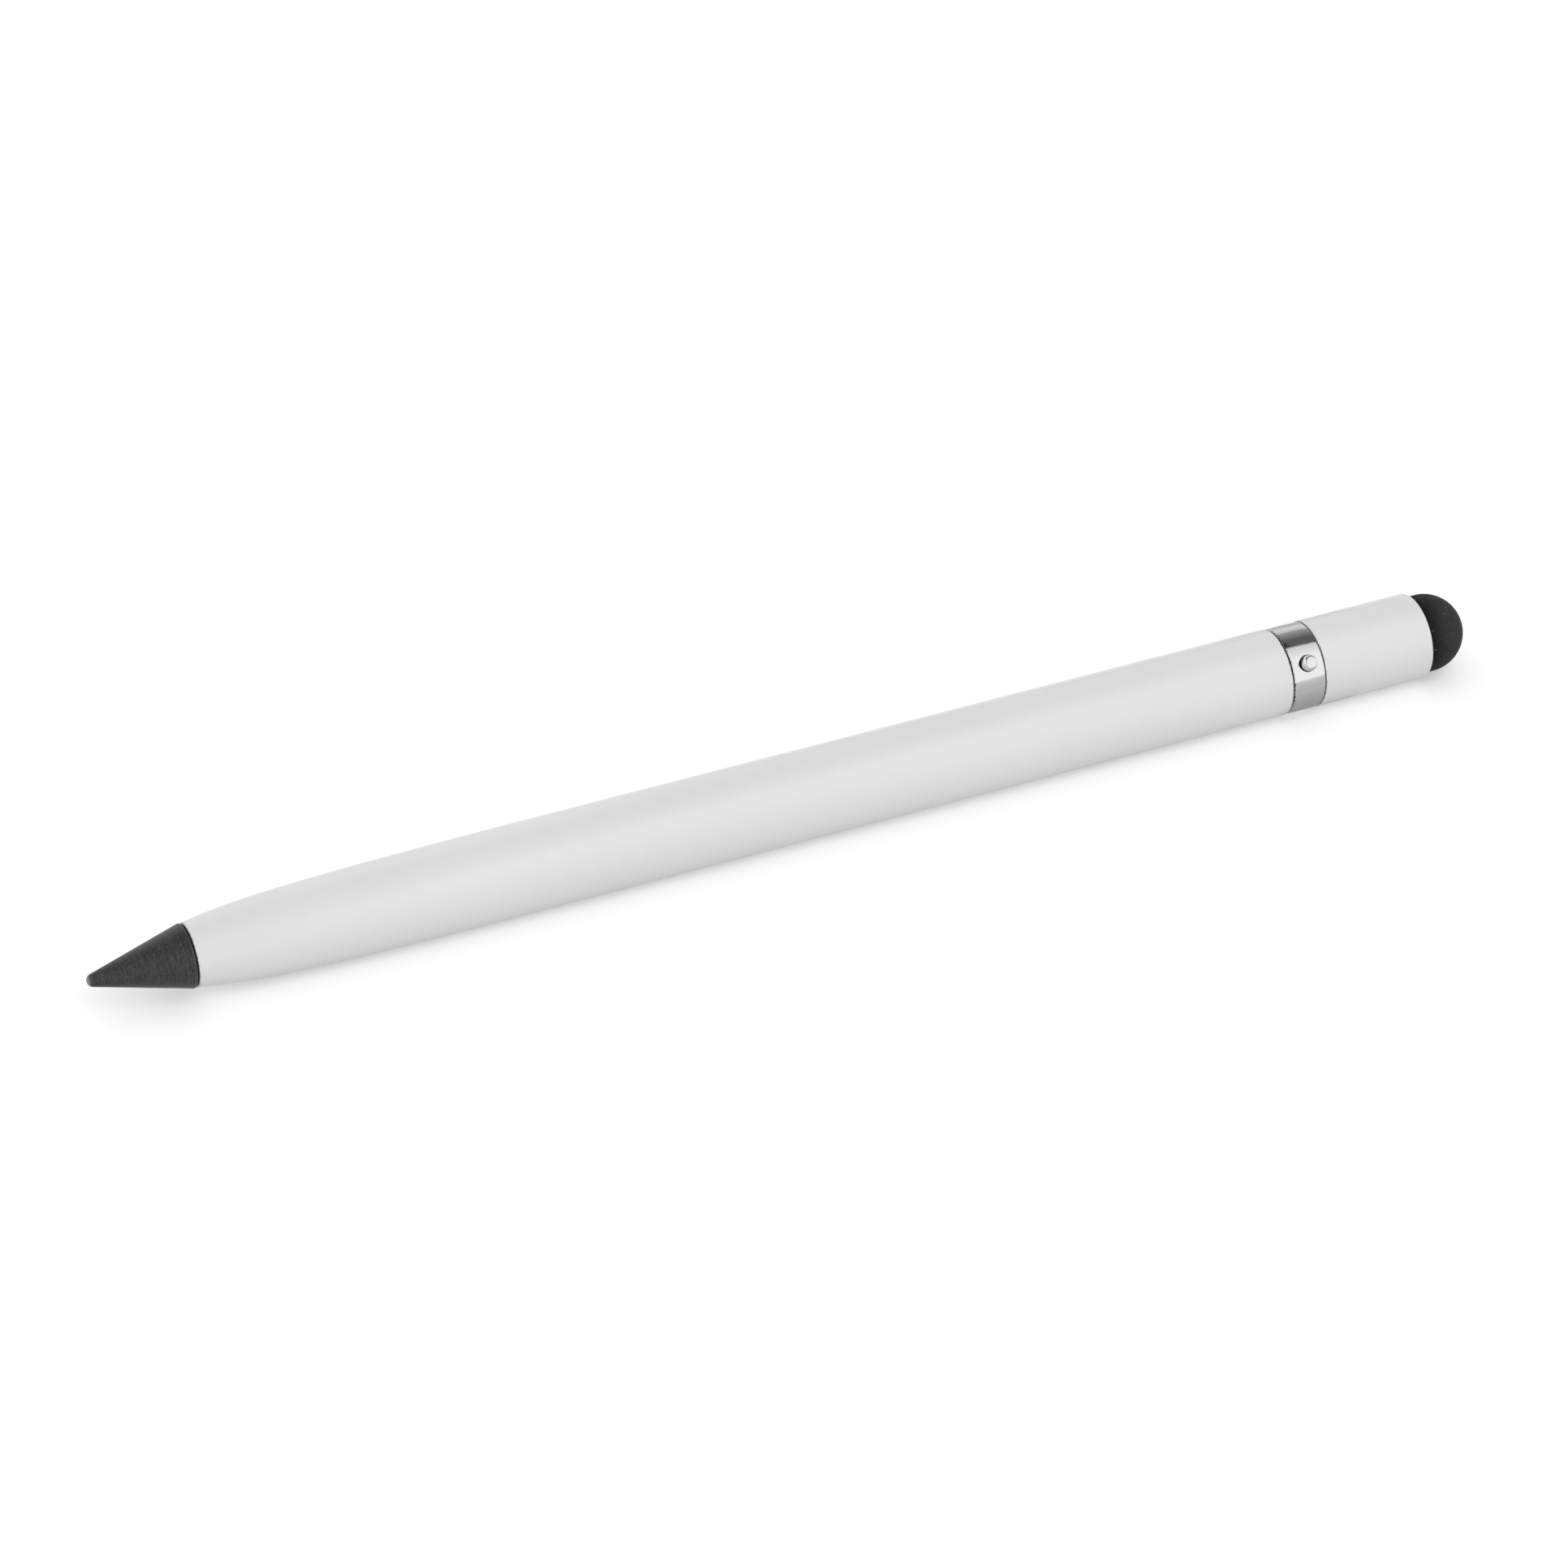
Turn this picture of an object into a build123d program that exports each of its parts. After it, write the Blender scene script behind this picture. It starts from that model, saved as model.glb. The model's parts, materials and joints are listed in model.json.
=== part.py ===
from build123d import *
import math
import os

os.makedirs("parts", exist_ok=True)

# Inkless metal pencil, lying on its side along X with the nib towards -X.
# All sizes are in millimetres. The origin is on the table under mid-length.

# Lengths along the pencil
nib_length = 10.08
washer_space = 0.17
barrel_length = 117.1
front_seam = 0.2
ring_length = 3.5
rear_seam = 0.12
cap_length = 12.47
dome_straight = 1.39

# Outside radii
barrel_radius = 4.5
nose_radius = 3.2
nib_base_radius = 3.25
nib_tip_radius = 0.66
washer_inset = 0.15
dome_inset = 0.46

# Nose of the barrel: distances back from its mouth, and drops below the barrel's radius there
nose_front_run = 7.7
nose_front_drop = 0.47
nose_middle_run = 17.4
nose_middle_drop = 0.14
nose_full_run = 34.2

# Crown of the ring and rounded edges of the metal pieces
ring_crown = 0.04
nib_edge_radius = 0.15
cap_edge_radius = 0.15
edge_break = 0.08

# Walls
barrel_wall = 0.9
ring_wall = 1.35
cap_wall = 0.9
bush_wall = 0.65
dome_wall = 0.8
connector_wall = 1.0

# Clearances between pieces that move on each other
thread_clearance = 0.06
ring_clearance = 0.05
face_clearance = 0.02

# Nib screw and the bush that takes it
nib_thread_radius = 1.5
nib_thread_pitch = 0.5
nib_thread_length = 7.0
nib_shank_length = 0.6
nib_socket_depth = 4.0
bush_end_space = 1.0
bush_shoulder = 0.3
bush_stop_length = 2.0
drill_cone_length = 3.0

# Connector, and the thread that the cap screws onto
connector_grip = 9.0
connector_flange_inset = 0.3
cap_thread_step = 0.2
cap_thread_pitch = 0.75
cap_thread_length = 6.5
cap_bush_end_space = 0.2

# Inside of the cap, and the rubber dome's skirt
cap_web = 1.2
cap_web_hole_radius = 2.0
stylus_seat = 3.7
skirt_inset = 0.7
skirt_wall = 0.6
dome_lip = 0.5

# Thread form, as shares of the pitch
thread_depth_share = 0.6
thread_foot_share = 0.86
thread_crest_share = 0.16
thread_lead_in_share = 0.5

# Stud on the ring, leaning up from the level towards -Y
stud_head_radius = 0.845
stud_head_rise = 0.38
stud_height = 1.0
stud_shank_radius = 0.45
stud_shank_depth = 1.0
stud_angle = 37.5

# Stations along X, from the tip to the dome
dome_radius = barrel_radius - dome_inset
fixed_length = nib_length + washer_space + barrel_length + front_seam + ring_length
overall_length = fixed_length + rear_seam + cap_length + dome_straight + dome_radius
tip_x = -overall_length / 2
nib_base_x = tip_x + nib_length
barrel_front_x = nib_base_x + washer_space
barrel_rear_x = barrel_front_x + barrel_length
ring_front_x = barrel_rear_x + front_seam
ring_middle_x = ring_front_x + ring_length / 2
ring_rear_x = ring_front_x + ring_length
cap_front_x = ring_rear_x + rear_seam
cap_rear_x = cap_front_x + cap_length
dome_centre_x = cap_rear_x + dome_straight

# Radii shared by pieces that fit each other
nib_thread_depth = thread_depth_share * nib_thread_pitch
nib_thread_core = nib_thread_radius - nib_thread_depth
nib_bush_bore = nib_thread_radius + thread_clearance
nib_bush_radius = nib_bush_bore + bush_wall
barrel_bore = barrel_radius - barrel_wall
ring_bore = barrel_radius - ring_wall
collar_radius = ring_bore - ring_clearance
cap_thread_radius = collar_radius - cap_thread_step
cap_thread_depth = thread_depth_share * cap_thread_pitch
cap_thread_core = cap_thread_radius - cap_thread_depth
cap_bush_bore = cap_thread_radius + thread_clearance
cap_bore = barrel_radius - cap_wall
skirt_radius = dome_radius - skirt_inset
skirt_bore = skirt_radius - skirt_wall

# Stations inside the pencil
nib_thread_end_x = barrel_front_x + nib_thread_length
bush_rear_x = nib_thread_end_x + bush_end_space
cap_thread_end_x = ring_rear_x + cap_thread_length
web_rear_x = cap_rear_x - stylus_seat
web_front_x = web_rear_x - cap_web

# Every turned piece is drawn on an upright section through the pencil's axis
section = Plane(origin=(0, 0, barrel_radius), x_dir=(1, 0, 0), z_dir=(0, -1, 0))
pencil_axis = Axis((0, 0, barrel_radius), (1, 0, 0))


def thread_points(start_x, end_x, pitch, core_radius, crest_radius):
    """Section of a thread's ridges, as many as fit between two stations."""
    flank = (thread_foot_share - thread_crest_share) * pitch / 2
    points = []
    for ridge in range(int((end_x - start_x) / pitch)):
        ridge_x = start_x + ridge * pitch
        points.append((ridge_x, core_radius))
        points.append((ridge_x + flank, crest_radius))
        points.append((ridge_x + flank + thread_crest_share * pitch, crest_radius))
        points.append((ridge_x + thread_foot_share * pitch, core_radius))
    return points


# Slope of the nib's cone, and where it meets the rounded tip
tip_centre_x = tip_x + nib_tip_radius
cone_run = nib_base_x - tip_centre_x
cone_chord = math.hypot(cone_run, nib_base_radius)
cone_angle = math.atan2(nib_base_radius, cone_run) - math.asin(nib_tip_radius / cone_chord)
cone_front_x = tip_centre_x - nib_tip_radius * math.sin(cone_angle)
cone_front_radius = nib_tip_radius * math.cos(cone_angle)
half_tip_angle = math.pi / 4 - cone_angle / 2
tip_arc_x = tip_centre_x - nib_tip_radius * math.cos(half_tip_angle)
tip_arc_radius = nib_tip_radius * math.sin(half_tip_angle)

# Nib: graphite-alloy writing cone with a socket for its screw
with BuildPart() as nib:
    with BuildSketch(section):
        with BuildLine():
            ThreePointArc((tip_x, 0), (tip_arc_x, tip_arc_radius), (cone_front_x, cone_front_radius))
            Polyline(
                (cone_front_x, cone_front_radius),
                (nib_base_x, nib_base_radius),
                (nib_base_x, nib_thread_core),
                (nib_base_x - nib_socket_depth, nib_thread_core),
                (nib_base_x - nib_socket_depth, 0),
                (tip_x, 0),
            )
        make_face()
    revolve(axis=pencil_axis)
    base_edge = nib.edges().filter_by(GeomType.CIRCLE).sort_by(SortBy.RADIUS)[-1]
    fillet(base_edge, nib_edge_radius)
nib.part.label = "nib"
export_step(nib.part, "parts/nib.step")

# Nib screw: steel stem pressed into the nib, threaded where it enters the bush
nib_shank_end_x = barrel_front_x + nib_shank_length
nib_lead_in = thread_lead_in_share * nib_thread_pitch
nib_ridges = thread_points(
    nib_shank_end_x + nib_lead_in,
    nib_thread_end_x - nib_lead_in,
    nib_thread_pitch,
    nib_thread_core,
    nib_thread_radius,
)
with BuildPart() as nib_screw:
    with BuildSketch(section):
        with BuildLine():
            Polyline(
                (nib_base_x - nib_socket_depth, 0),
                (nib_base_x - nib_socket_depth, nib_thread_core),
                (nib_base_x, nib_thread_core),
                (nib_base_x, nib_thread_radius),
                (nib_shank_end_x, nib_thread_radius),
                (nib_shank_end_x, nib_thread_core),
                *nib_ridges,
                (nib_thread_end_x - nib_lead_in, nib_thread_core),
                (nib_thread_end_x, nib_thread_core - nib_lead_in),
                (nib_thread_end_x, 0),
                close=True,
            )
        make_face()
    revolve(axis=pencil_axis)
nib_screw.part.label = "nib_screw"
export_step(nib_screw.part, "parts/nib_screw.step")

# Nib washer: thin black washer squeezed between the nib and the barrel
with BuildPart() as nib_washer:
    with BuildSketch(section):
        with BuildLine():
            Polyline(
                (nib_base_x + face_clearance, nib_bush_bore),
                (nib_base_x + face_clearance, nose_radius - washer_inset),
                (barrel_front_x - face_clearance, nose_radius - washer_inset),
                (barrel_front_x - face_clearance, nib_bush_bore),
                close=True,
            )
        make_face()
    revolve(axis=pencil_axis)
nib_washer.part.label = "nib_washer"
export_step(nib_washer.part, "parts/nib_washer.step")

# Front bush: brass insert pressed into the barrel's nose
with BuildPart() as front_bush:
    with BuildSketch(section):
        with BuildLine():
            Polyline(
                (barrel_front_x, nib_bush_bore),
                (barrel_front_x, nib_bush_radius),
                (bush_rear_x, nib_bush_radius),
                (bush_rear_x, nib_bush_bore),
                close=True,
            )
        make_face()
    revolve(axis=pencil_axis)
front_bush.part.label = "front_bush"
export_step(front_bush.part, "parts/front_bush.step")

# Barrel: aluminium tube with a nose of three arcs that run into each other
bush_stop_radius = nib_bush_radius - bush_shoulder
drill_x = bush_rear_x + bush_stop_length
with BuildPart() as barrel:
    with BuildSketch(section):
        with BuildLine():
            Line((barrel_rear_x, barrel_radius), (barrel_front_x + nose_full_run, barrel_radius))
            rear_arc = TangentArc(
                (barrel_front_x + nose_full_run, barrel_radius),
                (barrel_front_x + nose_middle_run, barrel_radius - nose_middle_drop),
                tangent=(-1, 0),
            )
            middle_arc = TangentArc(
                rear_arc @ 1,
                (barrel_front_x + nose_front_run, barrel_radius - nose_front_drop),
                tangent=rear_arc % 1,
            )
            TangentArc(middle_arc @ 1, (barrel_front_x, nose_radius), tangent=middle_arc % 1)
            Polyline(
                (barrel_front_x, nose_radius),
                (barrel_front_x, nib_bush_radius),
                (bush_rear_x, nib_bush_radius),
                (bush_rear_x, bush_stop_radius),
                (drill_x, bush_stop_radius),
                (drill_x + drill_cone_length, barrel_bore),
                (barrel_rear_x, barrel_bore),
                (barrel_rear_x, barrel_radius),
            )
        make_face()
    revolve(axis=pencil_axis)
    front_edges = barrel.edges().filter_by_position(Axis.X, barrel_front_x, barrel_front_x)
    rear_edges = barrel.edges().filter_by_position(Axis.X, barrel_rear_x, barrel_rear_x)
    fillet([front_edges.sort_by(SortBy.RADIUS)[-1], rear_edges.sort_by(SortBy.RADIUS)[-1]], edge_break)
barrel.part.label = "barrel"
export_step(barrel.part, "parts/barrel.step")

# Connector: brass tube pressed into the barrel, with a collar for the ring and a thread for the cap
connector_bore = cap_thread_core - connector_wall
cap_lead_in = thread_lead_in_share * cap_thread_pitch
cap_ridges = thread_points(
    ring_rear_x + cap_lead_in,
    cap_thread_end_x - cap_lead_in,
    cap_thread_pitch,
    cap_thread_core,
    cap_thread_radius,
)
with BuildPart() as connector:
    with BuildSketch(section):
        with BuildLine():
            Polyline(
                (barrel_rear_x - connector_grip, connector_bore),
                (barrel_rear_x - connector_grip, barrel_bore),
                (barrel_rear_x, barrel_bore),
                (barrel_rear_x, barrel_radius - connector_flange_inset),
                (ring_front_x - face_clearance, barrel_radius - connector_flange_inset),
                (ring_front_x - face_clearance, collar_radius),
                (ring_rear_x - face_clearance, collar_radius),
                (ring_rear_x - face_clearance, cap_thread_core),
                *cap_ridges,
                (cap_thread_end_x - cap_lead_in, cap_thread_core),
                (cap_thread_end_x, cap_thread_core - cap_lead_in),
                (cap_thread_end_x, connector_bore),
                close=True,
            )
        make_face()
    revolve(axis=pencil_axis)
connector.part.label = "connector"
export_step(connector.part, "parts/connector.step")

# Stud: pin pressed into the ring, with a flat-topped ball head sunk a little into the ring's face
stud_level = math.cos(math.radians(stud_angle))
stud_lift = math.sin(math.radians(stud_angle))
stud_direction = Vector(0, -stud_level, stud_lift)
ring_centre = (ring_middle_x, 0, barrel_radius)
stud_foot = barrel_radius - stud_shank_depth
stud_head_centre = barrel_radius + stud_head_rise
stud_neck_end = stud_head_centre - math.sqrt(stud_head_radius**2 - stud_shank_radius**2)
stud_top = barrel_radius + stud_height
stud_top_radius = math.sqrt(stud_head_radius**2 - (stud_height - stud_head_rise) ** 2)
with BuildPart() as stud:
    with BuildSketch(Plane(origin=ring_centre, x_dir=stud_direction, z_dir=(1, 0, 0))):
        with BuildLine():
            Polyline(
                (stud_top, stud_top_radius),
                (stud_top, 0),
                (stud_foot, 0),
                (stud_foot, stud_shank_radius),
                (stud_neck_end, stud_shank_radius),
            )
            ThreePointArc(
                (stud_neck_end, stud_shank_radius),
                (stud_head_centre, stud_head_radius),
                (stud_top, stud_top_radius),
            )
        make_face()
    revolve(axis=Axis(ring_centre, stud_direction))
stud.part.label = "stud"
export_step(stud.part, "parts/stud.step")

# Ring: slightly crowned polished band that slides on the connector's collar, with a seat for the stud
with BuildPart() as ring:
    with BuildSketch(section):
        with BuildLine():
            Polyline(
                (ring_rear_x, barrel_radius - ring_crown),
                (ring_rear_x, ring_bore),
                (ring_front_x, ring_bore),
                (ring_front_x, barrel_radius - ring_crown),
            )
            ThreePointArc(
                (ring_front_x, barrel_radius - ring_crown),
                (ring_middle_x, barrel_radius),
                (ring_rear_x, barrel_radius - ring_crown),
            )
        make_face()
    revolve(axis=pencil_axis)
    front_edges = ring.edges().filter_by_position(Axis.X, ring_front_x, ring_front_x)
    rear_edges = ring.edges().filter_by_position(Axis.X, ring_rear_x, ring_rear_x)
    fillet([front_edges.sort_by(SortBy.RADIUS)[-1], rear_edges.sort_by(SortBy.RADIUS)[-1]], edge_break)
    add(stud.part, mode=Mode.SUBTRACT)
ring.part.label = "ring"
export_step(ring.part, "parts/ring.step")

# Cap: short aluminium tube with a web inside
with BuildPart() as cap:
    with BuildSketch(section):
        with BuildLine():
            Polyline(
                (cap_front_x, barrel_radius),
                (cap_rear_x, barrel_radius),
                (cap_rear_x, skirt_radius),
                (web_rear_x, skirt_radius),
                (web_rear_x, cap_web_hole_radius),
                (web_front_x, cap_web_hole_radius),
                (web_front_x, cap_bore),
                (cap_front_x, cap_bore),
                close=True,
            )
        make_face()
    revolve(axis=pencil_axis)
    front_edges = cap.edges().filter_by_position(Axis.X, cap_front_x, cap_front_x)
    rear_edges = cap.edges().filter_by_position(Axis.X, cap_rear_x, cap_rear_x)
    fillet(front_edges.sort_by(SortBy.RADIUS)[-1], edge_break)
    fillet(rear_edges.sort_by(SortBy.RADIUS)[-1], cap_edge_radius)
cap.part.label = "cap"
export_step(cap.part, "parts/cap.step")

# Cap bush: brass insert pressed into the cap, standing proud to meet the ring
with BuildPart() as cap_bush:
    with BuildSketch(section):
        with BuildLine():
            Polyline(
                (ring_rear_x + face_clearance, cap_bush_bore),
                (ring_rear_x + face_clearance, cap_bore),
                (web_front_x - cap_bush_end_space, cap_bore),
                (web_front_x - cap_bush_end_space, cap_bush_bore),
                close=True,
            )
        make_face()
    revolve(axis=pencil_axis)
cap_bush.part.label = "cap_bush"
export_step(cap_bush.part, "parts/cap_bush.step")

# Stylus tip: hollow rubber dome resting on the cap's end, with a skirt inside it
cavity_radius = dome_radius - dome_wall
cavity_arc = cavity_radius * math.sqrt(0.5)
dome_arc = dome_radius * math.sqrt(0.5)
with BuildPart() as stylus_tip:
    with BuildSketch(section):
        with BuildLine():
            Polyline(
                (dome_centre_x + cavity_radius, 0),
                (dome_centre_x + dome_radius, 0),
            )
            ThreePointArc(
                (dome_centre_x + dome_radius, 0),
                (dome_centre_x + dome_arc, dome_arc),
                (dome_centre_x, dome_radius),
            )
            Polyline(
                (dome_centre_x, dome_radius),
                (cap_rear_x, dome_radius),
                (cap_rear_x, skirt_radius),
                (web_rear_x, skirt_radius),
                (web_rear_x, skirt_bore),
                (cap_rear_x + dome_lip, skirt_bore),
                (cap_rear_x + dome_lip, cavity_radius),
                (dome_centre_x, cavity_radius),
            )
            ThreePointArc(
                (dome_centre_x, cavity_radius),
                (dome_centre_x + cavity_arc, cavity_arc),
                (dome_centre_x + cavity_radius, 0),
            )
        make_face()
    revolve(axis=pencil_axis)
stylus_tip.part.label = "stylus_tip"
export_step(stylus_tip.part, "parts/stylus_tip.step")

# Stylus holder: plug that spreads the dome's skirt and snaps through the cap's web
with BuildPart() as stylus_holder:
    with BuildSketch(section):
        with BuildLine():
            Polyline(
                (web_front_x, 0),
                (web_front_x, cap_web_hole_radius),
                (web_rear_x, cap_web_hole_radius),
                (web_rear_x, skirt_bore),
                (cap_rear_x + dome_lip, skirt_bore),
                (cap_rear_x + dome_lip, 0),
                close=True,
            )
        make_face()
    revolve(axis=pencil_axis)
stylus_holder.part.label = "stylus_holder"
export_step(stylus_holder.part, "parts/stylus_holder.step")
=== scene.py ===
import json
import math

import bmesh
import bpy
from mathutils import Matrix, Vector


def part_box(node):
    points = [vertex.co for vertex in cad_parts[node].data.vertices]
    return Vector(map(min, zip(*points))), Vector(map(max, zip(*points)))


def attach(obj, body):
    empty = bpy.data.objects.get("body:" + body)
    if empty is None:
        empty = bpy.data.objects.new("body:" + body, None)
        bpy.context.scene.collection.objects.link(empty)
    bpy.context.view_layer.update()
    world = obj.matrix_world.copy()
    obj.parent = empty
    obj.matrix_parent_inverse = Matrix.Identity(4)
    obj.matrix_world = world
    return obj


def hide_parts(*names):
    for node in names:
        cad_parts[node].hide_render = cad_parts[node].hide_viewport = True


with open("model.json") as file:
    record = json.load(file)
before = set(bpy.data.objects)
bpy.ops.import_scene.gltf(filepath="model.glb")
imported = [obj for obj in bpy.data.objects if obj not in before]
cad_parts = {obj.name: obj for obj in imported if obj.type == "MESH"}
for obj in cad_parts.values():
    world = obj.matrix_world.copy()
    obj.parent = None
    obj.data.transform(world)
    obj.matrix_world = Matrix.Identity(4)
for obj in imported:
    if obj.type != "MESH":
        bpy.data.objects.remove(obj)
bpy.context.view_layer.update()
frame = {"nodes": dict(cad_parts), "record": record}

MM = 0.001

# Outside sizes in millimetres that the boxes of the CAD nodes don't give
nose_radius = 3.2
nib_base_radius = 3.25
nib_tip_radius = 0.66
nose_front_run = 7.7
nose_front_drop = 0.47
nose_middle_run = 17.4
nose_middle_drop = 0.14
nose_full_run = 34.2
ring_crown = 0.04
nib_edge_radius = 0.15
cap_edge_radius = 0.15
edge_break = 0.03

# Inside sizes in millimetres
nib_thread_core = 1.2
nib_thread_pitch = 0.5
nib_shank_length = 0.6
nib_washer_bore = 1.56
bush_stop_radius = 1.91
bush_stop_length = 2.0
drill_cone_length = 3.0
barrel_bore = 3.6
ring_bore = 3.15
collar_radius = 3.1
face_clearance = 0.02
cap_thread_radius = 2.9
cap_thread_core = 2.45
cap_thread_pitch = 0.75
connector_bore = 1.45
cap_web_hole_radius = 2.0
skirt_radius = 3.34
dome_wall = 0.8

# Thread form, as shares of the pitch
thread_foot_share = 0.86
thread_crest_share = 0.16
thread_lead_in_share = 0.5

# Stud, in millimetres from the ring's surface, and the degrees that it leans up towards -Y
stud_head_radius = 0.845
stud_head_rise = 0.38
stud_height = 1.0
stud_top_edge = 0.2
stud_shank_radius = 0.45
stud_shank_depth = 1.0
stud_angle = 37.5

# Soiling, wear, painted shade and painted highlights, in millimetres from a seam, an end or the stud's
# foot
seam_grime_width = 0.14
cap_face_shade_width = 0.02
ring_grime_width = 0.2
stud_shade_inner = 0.84
stud_shade_outer = 0.96
seam_film_shade_width = 0.3
worn_tip_highlight_width = 0.4
nib_rim_highlight_width = 0.15
rubber_shade_width = 2.5

# Fineness of the meshes
around = 192
arc_steps = 6
nose_steps = 24
dome_steps = 32
crown_steps = 12
thread_steps = 16
sharp_angle = math.radians(32)


def stations(node):
    """Front and rear of a CAD node along the pencil, and its largest radius, in millimetres."""
    low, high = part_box(node)
    return low.x / MM, high.x / MM, (high.z - low.z) / 2 / MM


# Stations and radii from the frame
tip_x, nib_base_x, _ = stations("nib")
socket_x, nib_thread_end_x, nib_thread_radius = stations("nib_screw")
washer_front_x, washer_rear_x, washer_radius = stations("nib_washer")
barrel_front_x, barrel_rear_x, barrel_radius = stations("barrel")
_, bush_rear_x, bush_radius = stations("front_bush")
connector_front_x, cap_thread_end_x, flange_radius = stations("connector")
ring_front_x, ring_rear_x, _ = stations("ring")
cap_front_x, cap_rear_x, _ = stations("cap")
_, _, cap_bore = stations("cap_bush")
web_rear_x, dome_apex_x, dome_radius = stations("stylus_tip")
web_front_x, lip_x, skirt_bore = stations("stylus_holder")
ring_middle_x = (ring_front_x + ring_rear_x) / 2
dome_centre_x = dome_apex_x - dome_radius
pencil_axis = Matrix.Scale(MM, 4) @ Matrix.Translation((0, 0, barrel_radius))
stud_direction = Vector((0, -math.cos(math.radians(stud_angle)), math.sin(math.radians(stud_angle))))
stud_foot = pencil_axis @ (Vector((ring_middle_x, 0, 0)) + barrel_radius * stud_direction)


# Outlines, as (distance along the axis, radius) in millimetres


def tangent_arc(start, heading, end, steps):
    """Points of the arc that leaves start in a heading and reaches end, and the heading there.

    The start itself is left out of the points.
    """
    chord = Vector(end) - Vector(start)
    turn = math.atan2(heading.cross(chord), heading.dot(chord))
    points = []
    for step in range(1, steps + 1):
        part = turn * step / steps
        reach = chord.length * math.sin(part) / math.sin(turn)
        points.append(Vector(start) + reach * (Matrix.Rotation(part, 2) @ heading))
    return points, Matrix.Rotation(2 * turn, 2) @ heading


def circle_arc(centre, radius, first, last, steps):
    """Points of an arc about a centre on the axis, between two angles from the axis's own direction."""
    points = []
    for step in range(steps + 1):
        angle = first + (last - first) * step / steps
        points.append((centre + radius * math.cos(angle), radius * math.sin(angle)))
    return points


def rounded(before, corner, after, radius):
    """Points of a corner that is rounded to a radius."""
    corner = Vector(corner)
    to_before = (Vector(before) - corner).normalized()
    to_after = (Vector(after) - corner).normalized()
    cut = radius / math.tan(to_before.angle(to_after) / 2)
    points, _ = tangent_arc(corner + cut * to_before, -to_before, corner + cut * to_after, arc_steps)
    return [corner + cut * to_before, *points]


def thread_height(phase):
    """Height of a thread's ridge at a share of its pitch, from 0 at the foot to 1 on the crest."""
    flank = (thread_foot_share - thread_crest_share) / 2
    share = phase % 1
    return max(0.0, min(1.0, share / flank, (thread_foot_share - share) / flank))


def thread(start_x, end_x, core, crest, pitch):
    """Outline of a screw's core with a lead-in at its end, and the helical ridge that stands on it."""
    lead_in = thread_lead_in_share * pitch
    steps = round((end_x - lead_in - start_x) / pitch * thread_steps)
    outline = []
    for step in range(steps + 1):
        outline.append((start_x + step * pitch / thread_steps, core))
    outline.append((end_x, core - lead_in))

    def ridge(along, radius, angle):
        """Radius to add at a point of the piece's outline and an angle round the axis."""
        if radius != core or along < start_x:
            return 0
        fades = min(1.0, (along - start_x) / lead_in, (end_x - lead_in - along) / lead_in)
        return fades * (crest - core) * thread_height(along / pitch - angle / (2 * math.pi))

    return outline, ridge


def lathe(name, outline, axis=pencil_axis, closed=False, ridge=None):
    """Turns an outline about an axis, and joins its last point to its first where it is closed.

    ridge gives the radius to add at a point of the outline and an angle round the axis.
    """
    form = bmesh.new()
    rows = []
    for along, radius in outline:
        row = []
        for step in range(around if radius > 0 else 1):
            angle = 2 * math.pi * step / around
            reach = radius + (ridge(along, radius, angle) if ridge else 0)
            point = Vector((along, reach * math.cos(angle), reach * math.sin(angle)))
            row.append(form.verts.new(axis @ point))
        rows.append(row)
    pairs = list(zip(rows, rows[1:]))
    if closed:
        pairs.append((rows[-1], rows[0]))
    for row, following in pairs:
        for step in range(around):
            corners = [row[step % len(row)], row[(step + 1) % len(row)]]
            corners += [following[(step + 1) % len(following)], following[step % len(following)]]
            form.faces.new(list(dict.fromkeys(corners)))
    bmesh.ops.recalc_face_normals(form, faces=form.faces[:])
    mesh = bpy.data.meshes.new(name)
    form.to_mesh(mesh)
    form.free()
    mesh.shade_smooth()
    mesh.set_sharp_from_angle(angle=sharp_angle)
    piece = bpy.data.objects.new(name, mesh)
    bpy.context.scene.collection.objects.link(piece)
    return piece


# Shader nodes


def grey(level):
    """Colour without a hue."""
    return (level, level, level, 1)


def feed(tree, socket, value):
    """Gives an input a value, or links another node's output to it."""
    if isinstance(value, bpy.types.NodeSocket):
        tree.links.new(value, socket)
    else:
        socket.default_value = value


def make(tree, kind, inputs=None, **settings):
    """Adds a shader node with its settings and inputs."""
    node = tree.nodes.new("ShaderNode" + kind)
    for name, value in settings.items():
        setattr(node, name, value)
    for name, value in (inputs or {}).items():
        feed(tree, node.inputs[name], value)
    return node


def math_node(tree, operation, *values):
    """Output of a clamped operation on values or outputs."""
    inputs = dict(enumerate(values))
    return make(tree, "Math", inputs, operation=operation, use_clamp=True).outputs[0]


def fade(tree, value, start, end):
    """0 where a value is at start, 1 at end, and smooth between them."""
    inputs = {"Value": value, "From Min": start, "From Max": end}
    return make(tree, "MapRange", inputs, interpolation_type="SMOOTHSTEP").outputs["Result"]


def noise(tree, place, size, detail=2.0, stretch=1.0):
    """Noise with grains of a size in millimetres, stretched round the pencil by a factor."""
    along = 1 / (size * MM)
    across = along / stretch
    mapping = make(tree, "Mapping", {"Vector": place, "Scale": (along, across, across)})
    inputs = {"Vector": mapping.outputs["Vector"], "Scale": 1.0, "Detail": detail}
    return make(tree, "TexNoise", inputs).outputs["Fac"]


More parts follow.
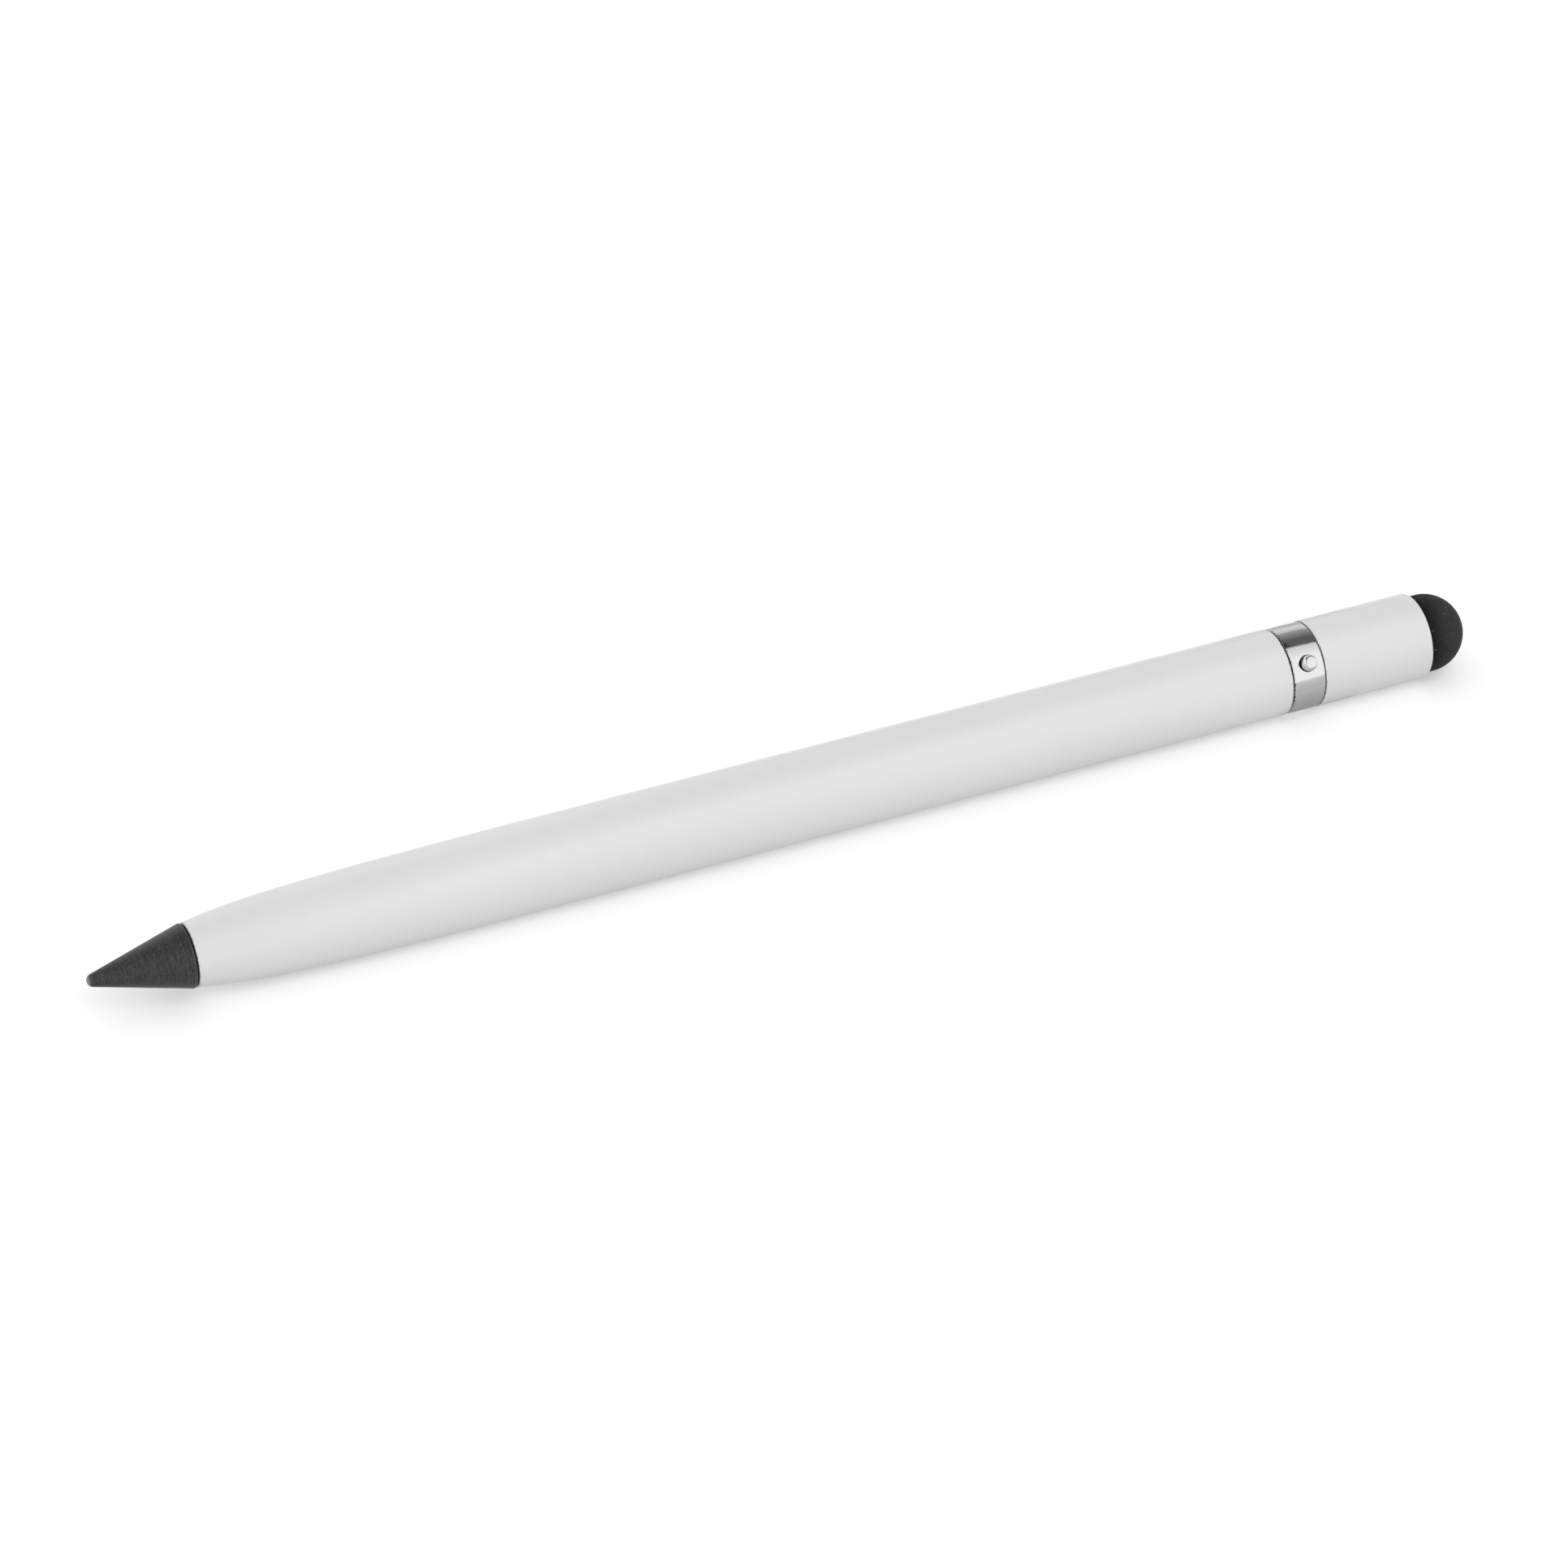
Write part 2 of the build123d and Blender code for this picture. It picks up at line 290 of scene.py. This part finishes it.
def specks(tree, place, spacing, radius, share):
    """1 on small round specks, with their spacing and radius in millimetres.

    Only a share of the places at that spacing has a speck.
    """
    inputs = {"Vector": place, "Scale": 1 / (spacing * MM)}
    cells = make(tree, "TexVoronoi", inputs)
    choice = make(tree, "SeparateColor", {"Color": cells.outputs["Color"]}).outputs["Red"]
    chosen = math_node(tree, "LESS_THAN", choice, share)
    inside = fade(tree, cells.outputs["Distance"], radius / spacing, radius / spacing / 2)
    return math_node(tree, "MULTIPLY", chosen, inside)


def near_station(tree, place, station, width):
    """1 at a station along the pencil, falling to 0 at a width from it, both in millimetres."""
    along = make(tree, "SeparateXYZ", {"Vector": place}).outputs["X"]
    inputs = {0: along, 1: station * MM}
    offset = make(tree, "Math", inputs, operation="SUBTRACT").outputs[0]
    distance = make(tree, "Math", {0: offset}, operation="ABSOLUTE").outputs[0]
    return fade(tree, distance, width * MM, 0.0)


def round_face(tree):
    """1 on the faces round the pencil's axis, and 0 on those square to it, such as the ends of a tube."""
    normal = make(tree, "NewGeometry").outputs["Normal"]
    along = make(tree, "SeparateXYZ", {"Vector": normal}).outputs["X"]
    facing_end = make(tree, "Math", {0: along}, operation="ABSOLUTE").outputs[0]
    return fade(tree, facing_end, start=0.95, end=0.8)


def near_point(tree, place, point, inner, outer):
    """1 within an inner distance of a point, falling to 0 at an outer distance, both in millimetres."""
    inputs = {0: place, 1: point}
    distance = make(tree, "VectorMath", inputs, operation="DISTANCE").outputs["Value"]
    return fade(tree, distance, outer * MM, inner * MM)


def ramp(tree, factor, *stops):
    """Colour that runs through (position, grey or colour) stops."""
    node = make(tree, "ValToRGB", {"Fac": factor})
    band = node.color_ramp
    while len(band.elements) < len(stops):
        band.elements.new(1.0)
    for element, (position, colour) in zip(band.elements, stops):
        element.position = position
        element.color = (*colour, 1) if isinstance(colour, tuple) else grey(colour)
    return node.outputs["Color"]


def blend_colour(tree, factor, first, second):
    """Colour between two colours or outputs."""
    inputs = {"Fac": factor, "Color1": first, "Color2": second}
    return make(tree, "MixRGB", inputs).outputs["Color"]


def bump(tree, height, depth):
    """Bent normals for a height map, with the depth in millimetres."""
    inputs = {"Height": height, "Strength": 1.0, "Distance": depth * MM}
    return make(tree, "Bump", inputs).outputs["Normal"]


def new_material(name, constants=None):
    """A material with its node tree, its shader with some constants, and the coordinates of its piece."""
    material = bpy.data.materials.new(name)
    material.use_nodes = True
    tree = material.node_tree
    shader = tree.nodes["Principled BSDF"]
    for socket, value in (constants or {}).items():
        shader.inputs[socket].default_value = value
    return material, tree, shader, make(tree, "TexCoord").outputs["Object"]


# Materials


def white_lacquer():
    """Satin white lacquer with a faint orange peel, a few specks, soiled patches by the seams, and painted
    shade on the cap's front face in the seam by the ring.
    """
    material, tree, shader, place = new_material("white_lacquer", {"Roughness": 0.27, "IOR": 1.6})
    tone = ramp(tree, noise(tree, place, size=14.0), (0.3, 0.762), (0.7, 0.777))
    dust = specks(tree, place, spacing=2.6, radius=0.05, share=0.12)
    patches = fade(tree, noise(tree, place, size=0.16, detail=3.0), start=0.5, end=0.62)
    patches = math_node(tree, "MULTIPLY", patches, round_face(tree))
    # Painted shade on the cap's front face, inside the seam by the ring.
    cap_face = near_station(tree, place, cap_front_x, cap_face_shade_width)
    grime_and_shade = math_node(tree, "MULTIPLY", cap_face, 0.6)
    for station in (barrel_front_x, barrel_rear_x, cap_front_x, cap_rear_x):
        edge = near_station(tree, place, station, seam_grime_width)
        grime_and_shade = math_node(tree, "ADD", grime_and_shade, math_node(tree, "MULTIPLY", edge, patches))
    dirt_and_shade = math_node(tree, "MAXIMUM", math_node(tree, "MULTIPLY", dust, 0.25), grime_and_shade)
    orange_peel = noise(tree, place, size=0.6, detail=1.0)
    feed(tree, shader.inputs["Base Color"], blend_colour(tree, dirt_and_shade, tone, grey(0.08)))
    feed(tree, shader.inputs["Normal"], bump(tree, orange_peel, depth=0.0002))
    return material


def graphite_alloy():
    """Dark sintered alloy with turning lines, mottled grain, a painted highlight along the edge of its
    base, and a tip polished by writing that is paler from wear and a painted highlight.
    """
    material, tree, shader, place = new_material("graphite_alloy")
    lines = noise(tree, place, size=0.12, stretch=14.0)
    mottle = noise(tree, place, size=0.24, detail=3.0)
    mixed = math_node(tree, "MULTIPLY_ADD", lines, 0.5, math_node(tree, "MULTIPLY", mottle, 0.5))
    colour = ramp(tree, mixed, (0.36, 0.012), (0.5, 0.028), (0.64, 0.056))
    # Painted highlight along the soft edge at the nib's base.
    rim_highlight = near_station(tree, place, nib_base_x - nib_edge_radius, nib_rim_highlight_width)
    colour = blend_colour(tree, math_node(tree, "MULTIPLY", rim_highlight, 0.4), colour, grey(0.09))
    # The tip is polished by writing, and its paler colour is partly wear and partly a painted highlight.
    worn_and_highlight = near_station(tree, place, tip_x, worn_tip_highlight_width)
    rough = ramp(tree, mixed, (0.35, 0.40), (0.65, 0.52))
    feed(tree, shader.inputs["Base Color"], blend_colour(tree, worn_and_highlight, colour, grey(0.25)))
    feed(tree, shader.inputs["Roughness"], blend_colour(tree, worn_and_highlight, rough, grey(0.3)))
    feed(tree, shader.inputs["Normal"], bump(tree, mixed, depth=0.006))
    return material


def chrome():
    """Polished plating, slightly wavy, with fine lines, soiled spots by its front seam, and painted shade
    round the stud's foot.
    """
    material, tree, shader, place = new_material("chrome", {"Metallic": 1.0})
    lines = noise(tree, place, size=0.05, detail=3.0, stretch=20.0)
    edge = near_station(tree, place, ring_front_x, ring_grime_width)
    edge = math_node(tree, "MULTIPLY", edge, round_face(tree))
    patches = fade(tree, noise(tree, place, size=0.3, detail=3.0), start=0.5, end=0.6)
    spots = math_node(tree, "MULTIPLY", edge, patches)
    # Painted shade round the stud's foot, over the ring and the ball's lower part, where the crevice is
    # shaded.
    foot = near_point(tree, place, stud_foot, stud_shade_inner, stud_shade_outer)
    grime_and_shade = math_node(tree, "MAXIMUM", spots, foot)
    cloud = noise(tree, place, size=1.5)
    shine = ramp(tree, cloud, (0.3, (0.80, 0.80, 0.81)), (0.7, (0.84, 0.84, 0.85)))
    feed(tree, shader.inputs["Base Color"], blend_colour(tree, grime_and_shade, shine, grey(0.04)))
    feed(tree, shader.inputs["Roughness"], ramp(tree, lines, (0.3, 0.05), (0.7, 0.12)))
    feed(tree, shader.inputs["Normal"], bump(tree, noise(tree, place, size=0.4), depth=0.003))
    return material


def brass():
    """Turned brass with tool lines, some tarnish, and a dark film in the barrel's rear seam that is part
    soiling and part painted shade.
    """
    material, tree, shader, place = new_material("brass", {"Metallic": 1.0})
    lines = noise(tree, place, size=0.06, stretch=16.0)
    tarnish = noise(tree, place, size=1.2, detail=4.0)
    shine = ramp(tree, tarnish, (0.3, (0.50, 0.34, 0.13)), (0.65, (0.72, 0.53, 0.23)))
    # Dark film on the flange in the seam: part soiling, part painted shade where the gap is shaded.
    film = near_station(tree, place, (barrel_rear_x + ring_front_x) / 2, seam_film_shade_width)
    film_grime_and_shade = ramp(tree, noise(tree, place, size=1.5), (0.4, 0.03), (0.6, 0.35))
    feed(tree, shader.inputs["Base Color"], blend_colour(tree, film, shine, film_grime_and_shade))
    feed(tree, shader.inputs["Roughness"], ramp(tree, lines, (0.3, 0.22), (0.7, 0.4)))
    feed(tree, shader.inputs["Normal"], bump(tree, lines, depth=0.004))
    return material


def steel():
    """Bright machined steel with fine lines and oil stains."""
    material, tree, shader, place = new_material("steel", {"Metallic": 1.0})
    lines = noise(tree, place, size=0.05, stretch=12.0)
    stains = noise(tree, place, size=0.8, detail=4.0)
    feed(tree, shader.inputs["Base Color"], ramp(tree, stains, (0.3, 0.42), (0.7, 0.58)))
    feed(tree, shader.inputs["Roughness"], ramp(tree, lines, (0.3, 0.25), (0.7, 0.42)))
    feed(tree, shader.inputs["Normal"], bump(tree, lines, depth=0.003))
    return material


def black_washer():
    """Matt black gasket with a fine grain."""
    material, tree, shader, place = new_material("black_washer", {"Specular IOR Level": 0.2})
    grain = noise(tree, place, size=0.08, detail=3.0)
    feed(tree, shader.inputs["Base Color"], ramp(tree, grain, (0.3, 0.006), (0.7, 0.014)))
    feed(tree, shader.inputs["Roughness"], ramp(tree, grain, (0.3, 0.75), (0.7, 0.9)))
    feed(tree, shader.inputs["Normal"], bump(tree, grain, depth=0.01))
    return material


def black_rubber():
    """Matt silicone rubber with a velvety grain, a little dust and painted shade at its foot by the cap.
    """
    material, tree, shader, place = new_material("black_rubber", {"Specular IOR Level": 0.22})
    grain = noise(tree, place, size=0.09, detail=3.0)
    mottle = noise(tree, place, size=0.17, detail=3.0)
    colour = ramp(tree, mottle, (0.3, 0.016), (0.7, 0.04))
    # Painted shade: darker foot where the dome meets the cap.
    foot = near_station(tree, place, cap_rear_x, rubber_shade_width)
    colour = blend_colour(tree, foot, colour, grey(0.004))
    ragged = fade(tree, noise(tree, place, size=0.08, detail=1.0), start=0.35, end=0.55)
    dust = specks(tree, place, spacing=0.5, radius=0.08, share=0.2)
    dust = math_node(tree, "MULTIPLY", dust, ragged)
    feed(tree, shader.inputs["Base Color"], blend_colour(tree, dust, colour, grey(0.26)))
    feed(tree, shader.inputs["Roughness"], ramp(tree, grain, (0.3, 0.62), (0.7, 0.8)))
    feed(tree, shader.inputs["Normal"], bump(tree, grain, depth=0.012))
    return material


def black_plastic():
    """Moulded black plastic with a fine spark-eroded texture."""
    material, tree, shader, place = new_material("black_plastic")
    grain = noise(tree, place, size=0.1, detail=3.0)
    feed(tree, shader.inputs["Base Color"], ramp(tree, grain, (0.3, 0.02), (0.7, 0.035)))
    feed(tree, shader.inputs["Roughness"], ramp(tree, grain, (0.3, 0.45), (0.7, 0.6)))
    feed(tree, shader.inputs["Normal"], bump(tree, grain, depth=0.01))
    return material


finishes = {
    "white_lacquer": white_lacquer(),
    "graphite_alloy": graphite_alloy(),
    "chrome": chrome(),
    "brass": brass(),
    "steel": steel(),
    "black_washer": black_washer(),
    "black_rubber": black_rubber(),
    "black_plastic": black_plastic(),
}
node_slots = {row["node"]: row["material_slot"] for row in frame["record"]["subparts"]}
node_bodies = {
    node: body for body, nodes in frame["record"]["behaviour"]["bodies"].items() for node in nodes
}


def dress(piece, node):
    """Lets a piece stand for a CAD node: its material, its slot and the body that it moves with."""
    piece.data.materials.append(finishes[node_slots[node]])
    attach(piece, node_bodies[node])
    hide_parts(node)


# Pieces


def nib_cone():
    """Writing cone with a rounded tip, a soft edge at its base and a socket for its stem."""
    tip_centre_x = tip_x + nib_tip_radius
    cone_run = nib_base_x - tip_centre_x
    cone_angle = math.atan2(nib_base_radius, cone_run)
    cone_angle -= math.asin(nib_tip_radius / math.hypot(cone_run, nib_base_radius))
    tip = circle_arc(tip_centre_x, nib_tip_radius, math.pi, math.pi / 2 + cone_angle, 2 * arc_steps)
    base = (nib_base_x, nib_base_radius)
    socket = (nib_base_x, nib_thread_core)
    edge = rounded(tip[-1], base, socket, nib_edge_radius)
    outline = [(tip_x, 0), *tip[1:], *edge, socket, (socket_x, nib_thread_core), (socket_x, 0)]
    dress(lathe("nib_cone", outline), "nib")


def nib_stem():
    """Stem with a collar and a helical thread."""
    shank_end_x = barrel_front_x + nib_shank_length
    screw, ridge = thread(
        shank_end_x,
        nib_thread_end_x,
        core=nib_thread_core,
        crest=nib_thread_radius,
        pitch=nib_thread_pitch,
    )
    outline = [(socket_x, 0), (socket_x, nib_thread_core), (nib_base_x, nib_thread_core)]
    outline += [(nib_base_x, nib_thread_radius), (shank_end_x, nib_thread_radius)]
    outline += [*screw, (nib_thread_end_x, 0)]
    dress(lathe("nib_stem", outline, ridge=ridge), "nib_screw")


def nib_gasket():
    """Black washer between the nib and the barrel, with soft edges."""
    front = (washer_front_x, washer_radius)
    rear = (washer_rear_x, washer_radius)
    inner_front = (washer_front_x, nib_washer_bore)
    inner_rear = (washer_rear_x, nib_washer_bore)
    soft = (washer_rear_x - washer_front_x) / 3
    outline = [inner_front, *rounded(inner_front, front, rear, soft)]
    outline += [*rounded(front, rear, inner_rear, soft), inner_rear]
    dress(lathe("nib_gasket", outline, closed=True), "nib_washer")


def barrel_tube():
    """Lacquered tube whose nose is three arcs that run into each other."""
    full = (barrel_front_x + nose_full_run, barrel_radius)
    middle = (barrel_front_x + nose_middle_run, barrel_radius - nose_middle_drop)
    front = (barrel_front_x + nose_front_run, barrel_radius - nose_front_drop)
    mouth = (barrel_front_x, nose_radius)
    heading = Vector((-1, 0))
    nose = [full]
    for point in (middle, front, mouth):
        arc, heading = tangent_arc(nose[-1], heading, point, nose_steps)
        nose += arc
    drill_x = bush_rear_x + bush_stop_length
    seat = (barrel_front_x, bush_radius)
    rear = (barrel_rear_x, barrel_radius)
    rear_bore = (barrel_rear_x, barrel_bore)
    outline = [*rounded(rear_bore, rear, full, edge_break), *nose[:-1]]
    outline += [*rounded(nose[-2], mouth, seat, edge_break), seat, (bush_rear_x, bush_radius)]
    outline += [(bush_rear_x, bush_stop_radius), (drill_x, bush_stop_radius)]
    outline += [(drill_x + drill_cone_length, barrel_bore), rear_bore]
    dress(lathe("barrel_tube", outline, closed=True), "barrel")


def connector_stem():
    """Brass tube with a flange, a collar that the ring slides on and a helical thread for the cap."""
    flange_end_x = ring_front_x - face_clearance
    collar_end_x = ring_rear_x - face_clearance
    screw, ridge = thread(
        collar_end_x,
        cap_thread_end_x,
        core=cap_thread_core,
        crest=cap_thread_radius,
        pitch=cap_thread_pitch,
    )
    outline = [(connector_front_x, connector_bore), (connector_front_x, barrel_bore)]
    outline += [(barrel_rear_x, barrel_bore), (barrel_rear_x, flange_radius)]
    outline += [(flange_end_x, flange_radius), (flange_end_x, collar_radius)]
    outline += [(collar_end_x, collar_radius), *screw, (cap_thread_end_x, connector_bore)]
    dress(lathe("connector_stem", outline, closed=True, ridge=ridge), "connector")


def ring_band():
    """Polished band with a slight crown and broken edges."""
    crown = []
    for step in range(crown_steps + 1):
        share = 2 * step / crown_steps - 1
        along = ring_middle_x + share * (ring_rear_x - ring_front_x) / 2
        crown.append((along, barrel_radius - ring_crown * share**2))
    front_bore = (ring_front_x, ring_bore)
    rear_bore = (ring_rear_x, ring_bore)
    outline = [front_bore, *rounded(front_bore, crown[0], crown[1], edge_break), *crown[1:-1]]
    outline += [*rounded(crown[-2], crown[-1], rear_bore, edge_break), rear_bore]
    dress(lathe("ring_band", outline, closed=True), "ring")


def stud_button():
    """Flat-topped ball on a pin, standing out of the ring."""
    across = Vector((1, 0, 0))
    turned = Matrix((stud_direction, across, stud_direction.cross(across))).transposed().to_4x4()
    axis = pencil_axis @ Matrix.Translation((ring_middle_x, 0, 0)) @ turned
    centre = barrel_radius + stud_head_rise
    foot = barrel_radius - stud_shank_depth
    top_angle = math.acos((stud_height - stud_head_rise) / stud_head_radius)
    neck_angle = math.pi - math.asin(stud_shank_radius / stud_head_radius)
    ball = circle_arc(centre, stud_head_radius, top_angle, neck_angle, dome_steps)
    top = (barrel_radius + stud_height, 0)
    outline = [top, *rounded(top, ball[0], ball[1], stud_top_edge), *ball[1:]]
    outline += [(foot, stud_shank_radius), (foot, 0)]
    dress(lathe("stud_button", outline, axis=axis), "stud")


def cap_shell():
    """Lacquered cap with soft edges and the web inside that holds the dome."""
    front = (cap_front_x, barrel_radius)
    front_bore = (cap_front_x, cap_bore)
    rear = (cap_rear_x, barrel_radius)
    seat = (cap_rear_x, skirt_radius)
    outline = [front_bore, *rounded(front_bore, front, rear, edge_break)]
    outline += [*rounded(front, rear, seat, cap_edge_radius), seat]
    outline += [(web_rear_x, skirt_radius), (web_rear_x, cap_web_hole_radius)]
    outline += [(web_front_x, cap_web_hole_radius), (web_front_x, cap_bore)]
    dress(lathe("cap_shell", outline, closed=True), "cap")


def stylus_dome():
    """Hollow rubber dome with a skirt that goes down into the cap."""
    cavity_radius = dome_radius - dome_wall
    outer = circle_arc(dome_centre_x, dome_radius, 0, math.pi / 2, dome_steps)
    cavity = circle_arc(dome_centre_x, cavity_radius, math.pi / 2, 0, dome_steps)
    outline = [(dome_apex_x, 0), *outer[1:], (cap_rear_x, dome_radius), (cap_rear_x, skirt_radius)]
    outline += [(web_rear_x, skirt_radius), (web_rear_x, skirt_bore), (lip_x, skirt_bore)]
    outline += [(lip_x, cavity_radius), *cavity[:-1], (dome_centre_x + cavity_radius, 0)]
    dress(lathe("stylus_dome", outline), "stylus_tip")


nib_cone()
nib_stem()
nib_gasket()
barrel_tube()
connector_stem()
ring_band()
stud_button()
cap_shell()
stylus_dome()

# CAD nodes that keep their own shape
for node in ("front_bush", "cap_bush", "stylus_holder"):
    slots = frame["nodes"][node].data.materials
    slots.clear()
    slots.append(finishes[node_slots[node]])


# Studio, in metres


def looked_at(tree):
    """1 for rays that look, also by way of metal or glass, and 0 for those that gather light."""
    rays = make(tree, "LightPath").outputs
    mirrored = math_node(tree, "MAXIMUM", rays["Is Glossy Ray"], rays["Is Transmission Ray"])
    return math_node(tree, "MAXIMUM", rays["Is Camera Ray"], mirrored)


def white_world(level):
    """World that is white where it is looked at, and lights the object softly from all round."""
    world = bpy.data.worlds.new("studio")
    world.use_nodes = True
    tree = world.node_tree
    soft = make(tree, "Background", {"Color": grey(1), "Strength": level})
    shown = make(tree, "Background", {"Color": grey(1), "Strength": 1.0})
    mix = make(tree, "MixShader", {"Fac": looked_at(tree)})
    tree.links.new(soft.outputs[0], mix.inputs[1])
    tree.links.new(shown.outputs[0], mix.inputs[2])
    tree.links.new(mix.outputs[0], tree.nodes["World Output"].inputs["Surface"])
    bpy.context.scene.world = world


def sheet(name, corners):
    """One flat face of the stage, with a new material."""
    mesh = bpy.data.meshes.new(name)
    mesh.from_pydata(corners, [], [tuple(range(len(corners)))])
    plane = bpy.data.objects.new(name, mesh)
    bpy.context.scene.collection.objects.link(plane)
    material = bpy.data.materials.new(name)
    material.use_nodes = True
    mesh.materials.append(material)
    return plane, material.node_tree


def pale_floor(reach, colour, lift):
    """Paper floor that is lifted to white where it is looked at, and keeps the object's shadow."""
    corners = [(-reach, -reach, 0), (reach, -reach, 0), (reach, reach, 0), (-reach, reach, 0)]
    _, tree = sheet("floor", corners)
    shader = tree.nodes["Principled BSDF"]
    shader.inputs["Base Color"].default_value = grey(colour)
    shader.inputs["Roughness"].default_value = 0.9
    shader.inputs["Specular IOR Level"].default_value = 0.0
    shader.inputs["Emission Color"].default_value = grey(1)
    feed(tree, shader.inputs["Emission Strength"], math_node(tree, "MULTIPLY", looked_at(tree), lift))


def reflection_card(name, front, rear, outline, greys):
    """Grey card that shows only in reflections.

    Its plane runs from a front (y, z) to a rear one. The corners are (x, share of the way to the rear),
    and the greys are (share, grey).
    """
    corners = []
    for x, share in outline:
        corners.append((x, *Vector(front).lerp(Vector(rear), share)))
    card, tree = sheet(name, corners)
    card.visible_camera = False
    card.visible_diffuse = False
    card.visible_transmission = False
    card.visible_shadow = False
    place = make(tree, "TexCoord").outputs["Generated"]
    share = make(tree, "SeparateXYZ", {"Vector": place}).outputs["Y"]
    glow = make(tree, "Emission", {"Color": ramp(tree, share, *greys)})
    tree.links.new(glow.outputs[0], tree.nodes["Material Output"].inputs["Surface"])


def key_light(distance, elevation, size, watts):
    """Large soft lamp in front of the object and above it, which doesn't show in reflections."""
    lamp = bpy.data.lights.new("key", "AREA")
    lamp.shape = "DISK"
    lamp.size = size
    lamp.energy = watts
    angle = math.radians(elevation)
    holder = bpy.data.objects.new("key", lamp)
    holder.location = (0, -distance * math.cos(angle), distance * math.sin(angle))
    holder.rotation_euler = (math.pi / 2 - angle, 0, 0)
    holder.visible_glossy = False
    bpy.context.scene.collection.objects.link(holder)


def photo_camera(place, azimuth, elevation, lens):
    """Camera at the photograph's viewing angle.

    The azimuth turns from +Y towards +X, and the elevation looks down, both in degrees.
    """
    camera = bpy.data.cameras.new("camera")
    camera.lens = lens
    camera.sensor_width = 36
    holder = bpy.data.objects.new("camera", camera)
    holder.location = place
    holder.rotation_euler = (math.radians(90 - elevation), 0, math.radians(-azimuth))
    bpy.context.scene.collection.objects.link(holder)
    bpy.context.scene.camera = holder


white_world(level=0.77)
pale_floor(reach=4, colour=0.8, lift=0.33)

# Bands along the top of the ring and of the barrel's rear
reflection_card(
    "ceiling_card",
    front=(-0.3, 0.52),
    rear=(0.6, 0.01),
    outline=[(0.02, 0), (1.2, 0), (1.2, 1), (0.21, 1), (0.1, 0.6)],
    greys=[
        (0, 0.97),
        (0.305, 0.75),
        (0.34, 0.12),
        (0.45, 0.11),
        (0.6, 0.35),
        (0.65, 0.66),
        (0.75, 0.76),
        (1, 0.46),
    ],
)

# Band along the barrel's front, whose lower edge climbs towards the rear
reflection_card(
    "camera_card",
    front=(-0.33, 0.12),
    rear=(0.25, 0.25),
    outline=[
        (-0.12, 0),
        (-0.04, 0),
        (-0.005, 0.36),
        (0.045, 0.5),
        (0.131, 0.585),
        (0.131, 1),
        (-0.12, 1),
    ],
    greys=[(0, 0.12), (0.2, 0.05), (0.63, 0.05), (1, 0.25)],
)

# Floor in front of the pencil, with painted shadow of the pencil that darkens it towards the pencil, and a
# strip over it with deeper painted shadow under the ring; both show only in reflections
floor_card_front_y = -0.16
floor_card_rear_y = -0.0015
floor_card_z = 0.0002
ring_card_z = 0.0004
reflection_card(
    "floor_card",
    front=(floor_card_front_y, floor_card_z),
    rear=(floor_card_rear_y, floor_card_z),
    outline=[(-0.2, 0), (0.3, 0), (0.3, 1), (-0.2, 1)],
    greys=[(0, 0.96), (0.54, 0.82), (0.82, 0.63), (0.95, 0.63), (1, 0.6)],
)
reflection_card(
    "ring_card",
    front=(floor_card_front_y, ring_card_z),
    rear=(floor_card_rear_y, ring_card_z),
    outline=[(0.118, 0), (0.137, 0), (0.0605, 1), (0.052, 1)],
    greys=[(0, 0.96), (0.54, 0.82), (0.82, 0.62), (0.95, 0.52), (1, 0.3)],
)

# Strip behind the ring, for its top edge: painted shade of the floor, lighter close behind and darker
# further back, seen only in reflections
reflection_card(
    "back_card",
    front=(0.012, 0.0003),
    rear=(0.62, 0.0123),
    outline=[(0.0545, 0), (0.0665, 0), (0.37, 1), (0.325, 1)],
    greys=[(0, 1.0), (0.019, 0.97), (0.036, 0.74), (0.077, 0.5), (0.31, 0.47), (1, 0.46)],
)

key_light(distance=0.9, elevation=50, size=0.7, watts=2.0)
photo_camera((-0.19162, -0.41864, 0.32862), azimuth=24.364, elevation=35.035, lens=130.43)
bpy.context.scene.view_settings.view_transform = "Standard"
